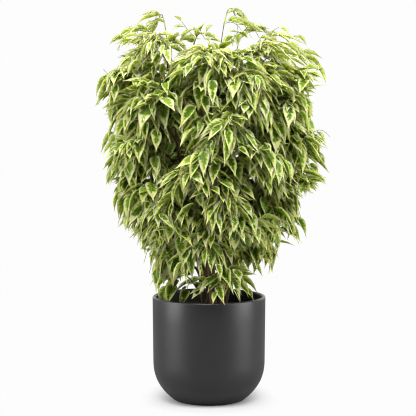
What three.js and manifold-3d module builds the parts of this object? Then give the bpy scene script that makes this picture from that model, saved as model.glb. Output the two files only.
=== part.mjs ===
// A weeping fig with cream-edged leaves in a round-cornered charcoal pot.
// Millimetres, +Z up, the front faces -Y, and the origin is the middle of the pot's foot.

import * as THREE from 'three';
import { mergeVertices } from 'three/addons/utils/BufferGeometryUtils.js';
import Module from 'manifold-3d';

const wasm = await Module();
wasm.setup();

// Pot: one moulded shell with a deep round corner and a rolled lip.
const POT_RADIUS = 170;
const POT_HEIGHT = 309;
const POT_WALL = 10;
const POT_FLOOR = 14;
const FOOT_RADIUS = 110;
const CORNER_HEIGHT = 123;
const CORNER_FULLNESS = 2.66;
const WALL_LEAN = 1.7;
const FLOOR_INSET = 7;
const POT_SIDES = 32;
const CORNER_STEPS = 6;
const LIP_STEPS = 4;

// Soil: fills the pot to a little under its lip, and is slightly mounded round the stems.
const SOIL_EDGE = 268;
const SOIL_MOUND = 9;
const SOIL_MOUND_RADIUS = 95;
const GAP = 0.3;

// Stems: five leaders that leave the soil close together and fan out as they rise.
const STEM_ROOT_DEPTH = 60;
const STEM_BASE_RADIUS = 8.2;
const STEM_TOP_RADIUS = 2.6;
const STEM_SPREAD = 0.88;
const STEM_SIDES = 6;
const STEM_STEPS = 9;
const STEMS = [
  { foot: [-15, -4], top: [-122, -22], height: 1040, girth: 0.85, bow: 7 },
  { foot: [-2, 24], top: [-62, 92], height: 1006, girth: 0.8, bow: 7 },
  { foot: [14, -20], top: [28, -98], height: 1010, girth: 1.45, bow: -9 },
  { foot: [32, 22], top: [72, 88], height: 1004, girth: 0.85, bow: 7 },
  { foot: [45, -8], top: [132, -14], height: 1036, girth: 1, bow: 7 },
];

// Crown: how far its leaf tips stand from the middle at each height, to the left, to the right and in depth.
const CROWN_OUTLINE = [
  { height: 330, left: 181, right: 154, depth: 150 },
  { height: 400, left: 187, right: 196, depth: 180 },
  { height: 440, left: 200, right: 235, depth: 215 },
  { height: 477, left: 240, right: 300, depth: 250 },
  { height: 520, left: 281, right: 285, depth: 275 },
  { height: 585, left: 281, right: 262, depth: 290 },
  { height: 621, left: 290, right: 338, depth: 310 },
  { height: 657, left: 317, right: 368, depth: 335 },
  { height: 729, left: 330, right: 362, depth: 345 },
  { height: 765, left: 311, right: 350, depth: 340 },
  { height: 800, left: 287, right: 311, depth: 335 },
  { height: 836, left: 305, right: 320, depth: 335 },
  { height: 872, left: 345, right: 320, depth: 330 },
  { height: 908, left: 345, right: 332, depth: 330 },
  { height: 943, left: 329, right: 362, depth: 325 },
  { height: 979, left: 262, right: 344, depth: 310 },
  { height: 1014, left: 272, right: 347, depth: 290 },
  { height: 1050, left: 293, right: 305, depth: 260 },
  { height: 1085, left: 284, right: 265, depth: 220 },
  { height: 1121, left: 263, right: 200, depth: 170 },
  { height: 1156, left: 170, right: 115, depth: 130 },
];

// Side shoots stand a golden turn round from each other, from the lowest to the highest, and their tips end
// a little inside the crown's outline.
const SIDE_SHOOTS = 46;
const LOWEST_TIP = 362;
const HIGHEST_TIP = 1060;
const LOW_THINNING = 0.88;
const FIRST_TURN = 20;
const GOLDEN_TURN = 137.508;
const TURN_JITTER = 12;
const REACH_JITTER = [0.93, 1.07];
const TIP_JITTER = 12;
const TIP_INSET = 22;
const TIP_ABOVE = 45;
const SHOOT_RISE = [55, 125];
const LOWEST_START = 300;
const SHOOT_CREST = [30, 70];

// Crown shoots: the highest, each with the stem that it grows from and the height where it leaves it.
const CROWN_SHOOTS = [
  { stem: 0, from: 990, tip: [-270, -45, 1040], crest: 150 },
  { stem: 0, from: 1020, tip: [-152, -20, 1118], crest: 88 },
  { stem: 1, from: 985, tip: [-12, -50, 1070], crest: 70 },
  { stem: 2, from: 995, tip: [78, -62, 1126], crest: 100 },
  { stem: 3, from: 980, tip: [148, -20, 1078], crest: 104 },
  { stem: 4, from: 1000, tip: [250, -30, 1052], crest: 92 },
  { stem: 4, from: 960, tip: [308, -40, 1000], crest: 90 },
];

// Every shoot is an arch whose first part is brown wood and whose rest is green.
const SHOOT_CREST_AT = 0.44;
const WOOD_SHARE = 0.3;
const WOOD_RADIUS = 3.2;
const WOOD_END_RADIUS = 2.8;
const WOOD_SIDES = 3;
const WOOD_STEPS = 2;
const GREEN_RADIUS = 2.6;
const GREEN_END_RADIUS = 2;
const GREEN_SIDES = 3;
const GREEN_STEPS = 3;

// Leaves: ovate with a long drip tip, arched along the midrib, and hanging.
const LEAVES_PER_SPRAY = 12;
const FIRST_LEAF_AT = 0.06;
const LEAF_LENGTH = 80;
const LEAF_HALF_WIDTH = 20;
const LEAF_SIZE_JITTER = 0.14;
const LEAF_STATIONS = [0, 0.38, 1];
const LEAF_WIDTHS = [0, 1, 0];
const LEAF_KEELS = [0, 2, 0];
const LEAF_SIDE_TURN = [18, 74];
const LEAF_DIP = [12, 52];
const LEAF_BEND = 36;
const LEAF_ROLL = 24;
const LEAF_TRIES = 7;
const LEAF_SHIFT = 0.2;
const LAST_LEAF_AT = 0.985;
const LAST_LEAF_TURN = 15;
const LAST_LEAF_DIP = [50, 68];
const CLEARANCE = 0.9;
const FINEST_EDGE = 0.03;

const MATERIALS = {
  pot: new THREE.MeshStandardMaterial({ color: 0x3a3b3b, roughness: 0.55, metalness: 0 }),
  soil: new THREE.MeshStandardMaterial({ color: 0x1b1510, roughness: 0.95, metalness: 0 }),
  bark: new THREE.MeshStandardMaterial({ color: 0x6e5038, roughness: 0.8, metalness: 0 }),
  leaf: new THREE.MeshStandardMaterial({ color: 0x86a048, roughness: 0.4, metalness: 0 }),
};

// A repeatable draw between low and high: the same item and feature always give the same number.
const DRAW_ITEM = 12.9898;
const DRAW_FEATURE = 78.233;
const DRAW_STRETCH = 43758.5453;
function draw(low, high, item, feature) {
  const wave = Math.sin(item * DRAW_ITEM + feature * DRAW_FEATURE) * DRAW_STRETCH;
  return low + (high - low) * (wave - Math.floor(wave));
}

const radians = THREE.MathUtils.degToRad;
const UP = new THREE.Vector3(0, 0, 1);
const MERGE_TOLERANCE = 1e-3;

// A closed geometry as a solid that can be joined and cut.
function solidOf(geometry) {
  geometry.deleteAttribute('normal');
  geometry.deleteAttribute('uv');
  const merged = mergeVertices(geometry, MERGE_TOLERANCE);
  const vertProperties = merged.attributes.position.array;
  const triVerts = new Uint32Array(merged.index.array);
  return new wasm.Manifold(new wasm.Mesh({ numProp: 3, vertProperties, triVerts }));
}

// The biggest body of a solid, as a geometry. Joining can leave a sealed pocket or a scrap, which this drops.
function geometryOf(solid) {
  const bodies = solid.decompose();
  bodies.sort((a, b) => b.volume() - a.volume());
  const mesh = bodies[0].getMesh();
  const geometry = new THREE.BufferGeometry();
  geometry.setAttribute('position', new THREE.BufferAttribute(mesh.vertProperties, 3));
  geometry.setIndex(new THREE.BufferAttribute(mesh.triVerts, 1));
  geometry.computeVertexNormals();
  return geometry;
}

function named(name, geometry, material) {
  const mesh = new THREE.Mesh(geometry, material);
  mesh.name = name;
  return mesh;
}

// A profile of radius and height turned round the pot's axis.
function turned(profile) {
  const points = profile.map(([radius, height]) => new THREE.Vector2(radius, height));
  const geometry = new THREE.LatheGeometry(points, POT_SIDES);
  geometry.rotateX(Math.PI / 2);
  return geometry;
}

// The round corner from a floor up to a wall, as radius and height at share s of its height.
function cornerPoint(s, floorRadius, floorHeight, wallRadius) {
  const fullness = 1 - (1 - s) ** CORNER_FULLNESS;
  const radius = floorRadius + (wallRadius - floorRadius) * fullness;
  return [radius, floorHeight + (CORNER_HEIGHT - floorHeight) * s];
}

// The pot's inside from its floor to the height given, moved in from the wall by an inset.
function insideProfile(inset, topHeight) {
  const profile = [[0, POT_FLOOR + inset]];
  for (let i = 0; i <= CORNER_STEPS; i += 1) {
    const wallRadius = POT_RADIUS - WALL_LEAN - POT_WALL;
    const [radius, height] = cornerPoint(i / CORNER_STEPS, FOOT_RADIUS - FLOOR_INSET, POT_FLOOR, wallRadius);
    profile.push([radius - inset, height + inset]);
  }
  const rise = (topHeight - CORNER_HEIGHT) / (POT_HEIGHT - CORNER_HEIGHT);
  profile.push([POT_RADIUS - POT_WALL - WALL_LEAN * (1 - rise) - inset, topHeight]);
  return profile;
}

function pot() {
  const profile = [[0, 0]];
  for (let i = 0; i <= CORNER_STEPS; i += 1) {
    profile.push(cornerPoint(i / CORNER_STEPS, FOOT_RADIUS, 0, POT_RADIUS - WALL_LEAN));
  }
  const lipRadius = POT_WALL / 2;
  for (let i = 0; i <= LIP_STEPS; i += 1) {
    const angle = (Math.PI * i) / LIP_STEPS;
    const radius = POT_RADIUS - lipRadius + lipRadius * Math.cos(angle);
    profile.push([radius, POT_HEIGHT - lipRadius + lipRadius * Math.sin(angle)]);
  }
  const inside = insideProfile(0, POT_HEIGHT - lipRadius).reverse().slice(1);
  return turned([...profile, ...inside]);
}

// Where the middle of a stem is at a height above the pot's foot.
function stemPoint(stem, height) {
  const s = Math.max(0, (height - SOIL_EDGE) / (stem.height - SOIL_EDGE));
  const spread = s ** STEM_SPREAD;
  const bow = stem.bow * Math.sin(2 * Math.PI * s);
  const [x, y] = stem.foot.map((foot, axis) => foot + (stem.top[axis] - foot) * spread);
  return new THREE.Vector3(x + bow, y - bow / 2, height);
}

// A regular polygon with one corner pointing along +Y.
function polygon(sides) {
  const corners = [];
  for (let i = 0; i < sides; i += 1) {
    const angle = Math.PI / 2 + (2 * Math.PI * i) / sides;
    corners.push(new THREE.Vector2(Math.cos(angle), Math.sin(angle)));
  }
  return new THREE.Shape(corners);
}

const TANGENT_STEP = 0.005;

// A tapered stick of a few sides along a curve, given as functions of the share t from its start to its end.
// One corner of its section points down where the stick runs level.
function stick(place, radiusAt, sides, steps, across) {
  const geometry = new THREE.ExtrudeGeometry(polygon(sides), { depth: 1, steps, bevelEnabled: false });
  const position = geometry.attributes.position;
  for (let i = 0; i < position.count; i += 1) {
    const t = position.getZ(i);
    const along = place(t + TANGENT_STEP).sub(place(t - TANGENT_STEP)).normalize();
    const down = new THREE.Vector3().crossVectors(along, across).normalize();
    const side = new THREE.Vector3().crossVectors(down, along);
    const point = place(t).addScaledVector(side, position.getX(i) * radiusAt(t));
    point.addScaledVector(down, position.getY(i) * radiusAt(t));
    position.setXYZ(i, point.x, point.y, point.z);
  }
  return geometry;
}

function stemStick(stem, extra) {
  const bottom = SOIL_EDGE - STEM_ROOT_DEPTH - extra;
  const place = (t) => stemPoint(stem, bottom + (stem.height - bottom) * t);
  const taper = (t) => stem.girth * (STEM_BASE_RADIUS + (STEM_TOP_RADIUS - STEM_BASE_RADIUS) * t);
  return stick(place, (t) => taper(t) + extra, STEM_SIDES, STEM_STEPS, new THREE.Vector3(0, 1, 0));
}

function soil() {
  const profile = insideProfile(GAP, SOIL_EDGE);
  profile.push([SOIL_MOUND_RADIUS, SOIL_EDGE + SOIL_MOUND / 2]);
  profile.push([0, SOIL_EDGE + SOIL_MOUND]);
  let body = solidOf(turned(profile));
  for (const stem of STEMS) {
    body = body.subtract(solidOf(stemStick(stem, GAP)));
  }
  return geometryOf(body);
}

// The arch of a side shoot, from its stem over a crest to its tip.
function arch(start, tip, crest) {
  const high = start.clone().lerp(tip, SHOOT_CREST_AT);
  high.z = Math.max(start.z, tip.z) + crest;
  return new THREE.QuadraticBezierCurve3(start, high, tip);
}

// The brown start of an arch, or its green rest, as a stick. Extra makes it stouter.
function woodStick(curve, extra) {
  const reach = curve.v2.clone().sub(curve.v0);
  const across = new THREE.Vector3().crossVectors(reach, UP).normalize();
  const taper = (t) => WOOD_RADIUS + (WOOD_END_RADIUS - WOOD_RADIUS) * t + extra;
  return stick((t) => curve.getPoint(t * WOOD_SHARE), taper, WOOD_SIDES, WOOD_STEPS, across);
}

function greenPoint(curve, share) {
  const start = WOOD_SHARE + GAP / curve.getLength();
  return curve.getPoint(start + (1 - start) * share);
}

function greenStick(curve, extra) {
  const reach = curve.v2.clone().sub(curve.v0);
  const across = new THREE.Vector3().crossVectors(reach, UP).normalize();
  const taper = (t) => GREEN_RADIUS + (GREEN_END_RADIUS - GREEN_RADIUS) * t + extra;
  return stick((t) => greenPoint(curve, t), taper, GREEN_SIDES, GREEN_STEPS, across);
}

// The middle of a green stick at a share of its length, on the straight piece between two of its rings.
function insideGreen(curve, share) {
  const ring = Math.min(GREEN_STEPS - 1, Math.floor(share * GREEN_STEPS));
  const from = greenPoint(curve, ring / GREEN_STEPS);
  return from.lerp(greenPoint(curve, (ring + 1) / GREEN_STEPS), share * GREEN_STEPS - ring);
}

// What a new piece has to stay clear of: solids with their boxes and the node that each belongs to.
const placed = [];
function place(solid, node) {
  placed.push({ solid, node, box: boxOf(solid) });
}

function boxOf(solid) {
  const { min, max } = solid.boundingBox();
  return new THREE.Box3(new THREE.Vector3(...min), new THREE.Vector3(...max));
}

function isClear(solid, ownNode) {
  const box = boxOf(solid);
  for (const other of placed) {
    if (other.node !== ownNode && other.box.intersectsBox(box)) {
      if (!other.solid.intersect(solid).isEmpty()) {
        return false;
      }
    }
  }
  return true;
}

// The stem that stands nearest to a direction from the middle of the crown.
function stemTowards(angle) {
  let nearest = 0;
  let best = -Infinity;
  STEMS.forEach((stem, i) => {
    const towards = Math.cos(Math.atan2(stem.top[1], stem.top[0]) - angle);
    if (towards > best) {
      best = towards;
      nearest = i;
    }
  });
  return nearest;
}

// How far the crown reaches from its middle in a direction, at a height.
function crownReach(angle, height) {
  const next = Math.max(1, CROWN_OUTLINE.findIndex((row) => row.height > height));
  const [low, high] = [CROWN_OUTLINE[next - 1], CROWN_OUTLINE[next]];
  const share = THREE.MathUtils.clamp((height - low.height) / (high.height - low.height), 0, 1);
  const at = (side) => low[side] + (high[side] - low[side]) * share;
  const sideways = at(Math.cos(angle) < 0 ? 'left' : 'right');
  return sideways * Math.cos(angle) ** 2 + at('depth') * Math.sin(angle) ** 2;
}

function sideArch(item) {
  const share = ((item - 0.5) / SIDE_SHOOTS) ** LOW_THINNING;
  const height = LOWEST_TIP + (HIGHEST_TIP - LOWEST_TIP) * share + draw(-TIP_JITTER, TIP_JITTER, item, 3);
  const angle = radians(FIRST_TURN + GOLDEN_TURN * item + draw(-TURN_JITTER, TURN_JITTER, item, 1));
  const length = (crownReach(angle, height - TIP_ABOVE) - TIP_INSET) * draw(...REACH_JITTER, item, 2);
  const stem = stemTowards(angle);
  const from = Math.max(LOWEST_START, height - draw(...SHOOT_RISE, item, 4));
  const start = stemPoint(STEMS[stem], from);
  const tip = new THREE.Vector3(length * Math.cos(angle), length * Math.sin(angle), height);
  return { stem, curve: arch(start, tip, draw(...SHOOT_CREST, item, 5)) };
}

function crownArch(shoot) {
  const start = stemPoint(STEMS[shoot.stem], shoot.from);
  return { stem: shoot.stem, curve: arch(start, new THREE.Vector3(...shoot.tip), shoot.crest) };
}

// A leaf blade from its root: its heading is its compass direction, and its dip how far it hangs at its root.
// Its section is flat on top, with the midrib as a keel below.
function leafBlade(root, leaf, extra) {
  const corners = [new THREE.Vector2(-1, 0), new THREE.Vector2(1, 0), new THREE.Vector2(0, 1)];
  const section = new THREE.Shape(corners);
  const steps = LEAF_STATIONS.length - 1;
  const geometry = new THREE.ExtrudeGeometry(section, { depth: 1, steps, bevelEnabled: false });
  const position = geometry.attributes.position;
  for (let i = 0; i < position.count; i += 1) {
    const row = Math.round(position.getZ(i) * steps);
    const point = bladePoint(root, leaf, row, position.getX(i), position.getY(i), extra);
    position.setXYZ(i, point.x, point.y, point.z);
  }
  return geometry;
}

// One point of a blade: at a row from its root to its tip, across from -1 to 1, and with keel 1 on the
// underside of its midrib.
function bladePoint(root, leaf, row, across, keel, extra) {
  const s = LEAF_STATIONS[row];
  const heading = new THREE.Vector3(Math.cos(leaf.heading), Math.sin(leaf.heading), 0);
  const hang = (dip) => heading.clone().multiplyScalar(Math.cos(dip)).addScaledVector(UP, -Math.sin(dip));
  const point = root.clone().addScaledVector(hang(leaf.dip + (leaf.bend * s) / 2), s * (leaf.length + extra));
  const along = hang(leaf.dip + leaf.bend * s);
  const side = new THREE.Vector3().crossVectors(along, UP).normalize().applyAxisAngle(along, leaf.roll);
  const upper = new THREE.Vector3().crossVectors(side, along).normalize();
  if (LEAF_WIDTHS[row] > 0) {
    point.addScaledVector(side, across * (LEAF_WIDTHS[row] * leaf.halfWidth + extra));
    point.addScaledVector(upper, extra / 2 - keel * (LEAF_KEELS[row] + extra));
  }
  return point;
}

// How one leaf of a spray sits: turned to one side of its shoot by turns, the last one ahead and hanging.
// Each leaf and each try at it has draws of its own.
const SHIFT_DRAWS = 11;
const SEAT_DRAWS = 31;
const DRAWS_PER_LEAF = 7;
const DRAWS_PER_TRY = 101;
function leafSeat(curve, index, item, attempt) {
  const last = index === LEAVES_PER_SPRAY - 1;
  const step = (1 - FIRST_LEAF_AT) / (LEAVES_PER_SPRAY - 1);
  const shifted = FIRST_LEAF_AT + step * (index + draw(-LEAF_SHIFT, LEAF_SHIFT, item, SHIFT_DRAWS + index));
  const share = last ? LAST_LEAF_AT : shifted;
  const tangent = curve.getTangent(WOOD_SHARE + (1 - WOOD_SHARE) * share);
  const key = SEAT_DRAWS + index * DRAWS_PER_LEAF + attempt * DRAWS_PER_TRY;
  const side = index % 2 === 0 ? 1 : -1;
  const sideTurn = side * draw(...LEAF_SIDE_TURN, item, key);
  const turn = last ? draw(-LAST_LEAF_TURN, LAST_LEAF_TURN, item, key) : sideTurn;
  const size = draw(1 - LEAF_SIZE_JITTER, 1 + LEAF_SIZE_JITTER, item, key + 1);
  return {
    root: insideGreen(curve, share),
    heading: Math.atan2(tangent.y, tangent.x) + radians(turn),
    dip: radians(draw(...(last ? LAST_LEAF_DIP : LEAF_DIP), item, key + 2)),
    bend: radians(LEAF_BEND),
    roll: radians(side * draw(0, LEAF_ROLL, item, key + 3)),
    length: LEAF_LENGTH * size,
    halfWidth: LEAF_HALF_WIDTH * size,
  };
}

function shortestEdge(solid) {
  const { triVerts, vertProperties } = solid.getMesh();
  const corner = (k) => new THREE.Vector3().fromArray(vertProperties, triVerts[k] * 3);
  let shortest = Infinity;
  for (let i = 0; i < triVerts.length; i += 3) {
    for (let k = 0; k < 3; k += 1) {
      shortest = Math.min(shortest, corner(i + k).distanceTo(corner(i + ((k + 1) % 3))));
    }
  }
  return shortest;
}

// A spray: its green shoot with the leaves that stay clear of every other node and join the shoot cleanly.
function spray(node, curve, item) {
  let body = solidOf(greenStick(curve, 0));
  for (let index = 0; index < LEAVES_PER_SPRAY; index += 1) {
    for (let attempt = 0; attempt < LEAF_TRIES; attempt += 1) {
      const leaf = leafSeat(curve, index, item, attempt);
      const blade = solidOf(leafBlade(leaf.root, leaf, 0));
      const joined = body.add(blade);
      const berth = solidOf(leafBlade(leaf.root, leaf, CLEARANCE));
      if (shortestEdge(joined) > FINEST_EDGE && isClear(berth, node)) {
        place(blade, `${node} leaf`);
        body = joined;
        break;
      }
    }
  }
  return geometryOf(body);
}

const plant = new THREE.Group();
plant.add(named('pot', pot(), MATERIALS.pot));
plant.add(named('soil', soil(), MATERIALS.soil));
place(solidOf(pot()), 'pot');

const woods = STEMS.map((stem) => solidOf(stemStick(stem, 0)));
STEMS.forEach((stem, i) => place(solidOf(stemStick(stem, 0)), `stem_${i + 1}`));

const arches = [];
function grow({ stem, curve }) {
  const node = `spray_${String(arches.length + 1).padStart(2, '0')}`;
  const wood = solidOf(woodStick(curve, 0));
  woods[stem] = woods[stem].add(wood);
  place(wood, `stem_${stem + 1}`);
  place(solidOf(greenStick(curve, 0)), node);
  arches.push({ node, curve });
}

for (let item = 1; item <= SIDE_SHOOTS; item += 1) {
  grow(sideArch(item));
}
for (const shoot of CROWN_SHOOTS) {
  grow(crownArch(shoot));
}

woods.forEach((wood, i) => plant.add(named(`stem_${i + 1}`, geometryOf(wood), MATERIALS.bark)));
arches.forEach(({ node, curve }, i) => plant.add(named(node, spray(node, curve, i + 1), MATERIALS.leaf)));

export default plant;
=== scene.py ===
import math
import random

import bpy
import bmesh
import numpy as np
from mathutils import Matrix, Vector


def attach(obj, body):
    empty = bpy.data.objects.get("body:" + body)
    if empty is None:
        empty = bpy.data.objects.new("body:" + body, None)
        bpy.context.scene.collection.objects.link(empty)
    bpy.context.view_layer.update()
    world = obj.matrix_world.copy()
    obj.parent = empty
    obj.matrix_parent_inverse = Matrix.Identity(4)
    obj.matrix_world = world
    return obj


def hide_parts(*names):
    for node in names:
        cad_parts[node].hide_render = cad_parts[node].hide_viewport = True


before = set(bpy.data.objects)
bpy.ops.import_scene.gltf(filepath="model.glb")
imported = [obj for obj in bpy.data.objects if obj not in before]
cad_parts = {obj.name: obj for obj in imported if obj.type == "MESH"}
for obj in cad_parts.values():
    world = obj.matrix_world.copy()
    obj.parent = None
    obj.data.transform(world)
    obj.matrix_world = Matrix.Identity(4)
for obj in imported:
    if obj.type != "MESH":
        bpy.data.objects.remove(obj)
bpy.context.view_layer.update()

# The camera stands in front of the plant, a little above the middle of its height, and looks slightly down,
# so that a little of the pot's mouth shows.
CAMERA_PLACE = (-0.003, -3.0, 0.728)
CAMERA_PITCH = math.radians(2.96)
CAMERA_LENS = 86.6
CAMERA_SENSOR = 36


def rest_all():
    """Leaves nothing selected, so that the next operator acts on its own piece alone."""
    if bpy.context.object and bpy.context.object.mode == "EDIT":
        bpy.ops.object.mode_set(mode="OBJECT")
    bpy.ops.object.select_all(action="DESELECT")


rest_all()
bpy.ops.object.camera_add(location=CAMERA_PLACE, rotation=(math.pi / 2 - CAMERA_PITCH, 0, 0))
camera = bpy.context.object
camera.data.lens = CAMERA_LENS
camera.data.sensor_width = CAMERA_SENSOR
bpy.context.scene.camera = camera


# The stage is a pale floor that runs into a white backdrop. Near the pot the floor is a plain grey that takes
# real shadows and is darker than the rest as painted shade; beyond an oval round the pot it glows white for
# the camera, painted light that leaves only a soft shadow at the pot's foot. A broad soft light hangs
# overhead and a tall softbox stands on each side, with a bright wall behind the plant and a dark room behind
# the camera.
FLOOR_SIZE = 60
FLOOR_ROUGHNESS = 0.9
FLOOR_SHINE = 0.0
FLOOR_SEEN = (0.56, 0.56, 0.56, 1)
FLOOR_BOUNCE = (0.38, 0.38, 0.38, 1)
FLOOR_GLOW_FROM = 0.11
FLOOR_GLOW_TO = 0.29
FLOOR_SHADE_SHIFT = (0, 0.035, 0)
FLOOR_SHADE_STRETCH = (1.35, 0.85, 1)
BLACK = (0, 0, 0, 1)
BACKDROP = 1.0
ROOM_FRONT = 0.08
ROOM_BACK = 2.3
ROOM_BACK_RANGE = (0.0, 0.9)
ROOM_ABOVE_RANGE = (0.2, 0.7)
SOFTBOX_DISTANCE = 2.4
SOFTBOX_SIZE = (1.3, 2.2)
SOFTBOX_HEIGHT = 1.0
SOFTBOX_TURN = math.radians(72)
SOFTBOX_POWER = 67
OVERHEAD_PLACE = (0, -1.3, 2.8)
OVERHEAD_AIM = (0, 0, 0.6)
OVERHEAD_SIZE = 2.0
OVERHEAD_POWER = 128
PIXEL_SOFTNESS = 1.1


class Signal:
    """A socket of a material's nodes, on which shader sums are written as plain expressions."""

    def __init__(self, tree, socket):
        self.tree = tree
        self.socket = socket

    @staticmethod
    def add(tree, kind, settings, inputs, output=0):
        """A node of a kind: its settings first, then the values or links of its sockets."""
        node = tree.nodes.new(kind)
        for name, value in settings.items():
            setattr(node, name, value)
        for name, value in inputs.items():
            if isinstance(value, Signal):
                tree.links.new(value.socket, node.inputs[name])
            else:
                node.inputs[name].default_value = value
        return Signal(tree, node.outputs[output])

    def maths(self, operation, *values):
        """A sum of this kind on values, each a number or a signal."""
        inputs = dict(enumerate(values))
        return Signal.add(self.tree, "ShaderNodeMath", {"operation": operation}, inputs)

    def __add__(self, other):
        return self.maths("ADD", self, other)

    def __radd__(self, other):
        return self.maths("ADD", other, self)

    def __sub__(self, other):
        return self.maths("SUBTRACT", self, other)

    def __rsub__(self, other):
        return self.maths("SUBTRACT", other, self)

    def __mul__(self, other):
        return self.maths("MULTIPLY", self, other)

    def __rmul__(self, other):
        return self.maths("MULTIPLY", other, self)

    def __neg__(self):
        return self.maths("SUBTRACT", 0, self)

    def __abs__(self):
        return self.maths("ABSOLUTE", self)

    def __gt__(self, other):
        return self.maths("GREATER_THAN", self, other)

    def floor(self):
        return self.maths("FLOOR", self)

    def fraction(self):
        return self.maths("FRACT", self)

    def sine(self):
        return self.maths("SINE", self)

    def ramp(self, low, high, start=0.0, end=1.0):
        """A smooth change from start to end while this signal goes from low to high."""
        settings = {"interpolation_type": "SMOOTHSTEP"}
        inputs = {0: self, 1: low, 2: high, 3: start, 4: end}
        return Signal.add(self.tree, "ShaderNodeMapRange", settings, inputs)

    def mix(self, first, second):
        """A colour from first to second as this signal goes from 0 to 1: sockets 6, 7 and 2 hold colours."""
        inputs = {0: self, 6: first, 7: second}
        return Signal.add(self.tree, "ShaderNodeMix", {"data_type": "RGBA"}, inputs, 2)


def rgb(red, green, blue):
    """A colour as a shader takes it, from display values of 0 to 255, by the standard display curve."""
    shown = (red / 255, green / 255, blue / 255)
    return (*((c / 12.92) if c <= 0.04045 else ((c + 0.055) / 1.055) ** 2.4 for c in shown), 1)


def finish_named(name, roughness, specular):
    """A material with its shader, whose constant values are set on the shader itself."""
    material = bpy.data.materials.new(name)
    material.use_nodes = True
    shader = material.node_tree.nodes["Principled BSDF"]
    shader.inputs["Roughness"].default_value = roughness
    shader.inputs["Specular IOR Level"].default_value = specular
    return material, material.node_tree, shader


WHITE = rgb(252, 253, 252)

rest_all()
bpy.ops.mesh.primitive_plane_add(size=FLOOR_SIZE)
floor = bpy.context.object
floor.name = "floor"
floor_finish, tree, shader = finish_named("pale_floor", FLOOR_ROUGHNESS, FLOOR_SHINE)
place = Signal.add(tree, "ShaderNodeTexCoord", {}, {}, "Object")
shade = {"Vector": place, "Location": FLOOR_SHADE_SHIFT, "Scale": FLOOR_SHADE_STRETCH}
drawn = Signal.add(tree, "ShaderNodeMapping", {}, shade)
reach = Signal.add(tree, "ShaderNodeVectorMath", {"operation": "LENGTH"}, {0: drawn}, "Value")
seen = Signal.add(tree, "ShaderNodeLightPath", {}, {}, "Is Camera Ray")
# Painted light: beyond the oval the floor glows white for the camera only; the darker grey within it is
# painted shade round the pot's foot.
far = reach.ramp(FLOOR_GLOW_FROM, FLOOR_GLOW_TO) * seen
near = seen.mix(FLOOR_BOUNCE, FLOOR_SEEN)
tree.links.new(far.mix(near, BLACK).socket, shader.inputs["Base Color"])
tree.links.new(far.mix(BLACK, WHITE).socket, shader.inputs["Emission Color"])
shader.inputs["Emission Strength"].default_value = BACKDROP
floor.data.materials.append(floor_finish)


def softbox(side):
    """A tall softbox beside the plant, turned towards its middle."""
    place = Vector((side * math.sin(SOFTBOX_TURN), -math.cos(SOFTBOX_TURN), 0)) * SOFTBOX_DISTANCE
    turn = (math.pi / 2, 0, side * SOFTBOX_TURN)
    bpy.ops.object.light_add(type="AREA", location=(place.x, place.y, SOFTBOX_HEIGHT), rotation=turn)
    light = bpy.context.object.data
    light.shape = "RECTANGLE"
    light.size, light.size_y = SOFTBOX_SIZE
    light.energy = SOFTBOX_POWER


for side in (-1, 1):
    softbox(side)

aim = Vector(OVERHEAD_AIM) - Vector(OVERHEAD_PLACE)
overhead_turn = aim.to_track_quat("-Z", "Y").to_euler()
bpy.ops.object.light_add(type="AREA", location=OVERHEAD_PLACE, rotation=overhead_turn)
overhead = bpy.context.object.data
overhead.size = OVERHEAD_SIZE
overhead.energy = OVERHEAD_POWER

world = bpy.data.worlds.new("studio")
bpy.context.scene.world = world
world.use_nodes = True
sky = world.node_tree
sky_shader = sky.nodes["Background"]
way = Signal.add(sky, "ShaderNodeTexCoord", {}, {}, "Generated")
behind = Signal.add(sky, "ShaderNodeSeparateXYZ", {}, {0: way}, "Y").ramp(*ROOM_BACK_RANGE)
above = Signal.add(sky, "ShaderNodeSeparateXYZ", {}, {0: way}, "Z").ramp(*ROOM_ABOVE_RANGE)
room = ROOM_FRONT + behind * (1 - above) * (ROOM_BACK - ROOM_FRONT)
seen = Signal.add(sky, "ShaderNodeLightPath", {}, {}, "Is Camera Ray")
brightness = seen * (BACKDROP - room) + room
sky.links.new(brightness.socket, sky_shader.inputs["Strength"])
sky_shader.inputs["Color"].default_value = WHITE
bpy.context.scene.view_settings.view_transform = "Standard"
bpy.context.scene.cycles.filter_width = PIXEL_SOFTNESS


# The pot is one moulded shell of matt charcoal plastic: a flat foot, a deep round corner, a straight wall
# and a soft rolled lip. It is drawn up ring by ring, at the sizes of the frame's own pot.
POT_RADIUS = 0.170
POT_HEIGHT = 0.309
POT_WALL = 0.010
POT_FLOOR = 0.014
FOOT_RADIUS = 0.110
FLOOR_INSET = 0.007
CORNER_HEIGHT = 0.123
CORNER_FULLNESS = 2.66
WALL_LEAN = 0.0017
POT_SIDES = 128
CORNER_STEPS = 20
WALL_STEPS = 3
LIP_STEPS = 8
TURNED_CREASE = math.radians(40)
POT_COLOUR = rgb(23, 23, 23)
POT_SPECK = rgb(28, 28, 28)
# The inner wall's near black colour is painted shade.
POT_INSIDE_SHADE = rgb(9, 9, 8)
POT_ROUGHNESS = 0.42
POT_ROUGHNESS_RANGE = (0.38, 0.46)
POT_INSIDE_ROUGHER = 0.45
POT_SHINE = 0.5
POT_GRAIN = {"Scale": 900, "Detail": 2}
POT_CLOUD = {"Scale": 9, "Detail": 4}
POT_GRAIN_SHARE = 0.6
POT_CLOUD_SHARE = 0.4
POT_SPECK_RANGE = (0.35, 0.65)
POT_CLOUD_RANGE = (0.3, 0.7)
POT_RELIEF = {"Strength": 0.12, "Distance": 0.0004}


def corner_ring(s, floor_radius, floor_height, wall_radius):
    """Radius and height on a round corner, at share s of its height."""
    fullness = 1 - (1 - s) ** CORNER_FULLNESS
    radius = floor_radius + (wall_radius - floor_radius) * fullness
    return radius, floor_height + (CORNER_HEIGHT - floor_height) * s


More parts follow.
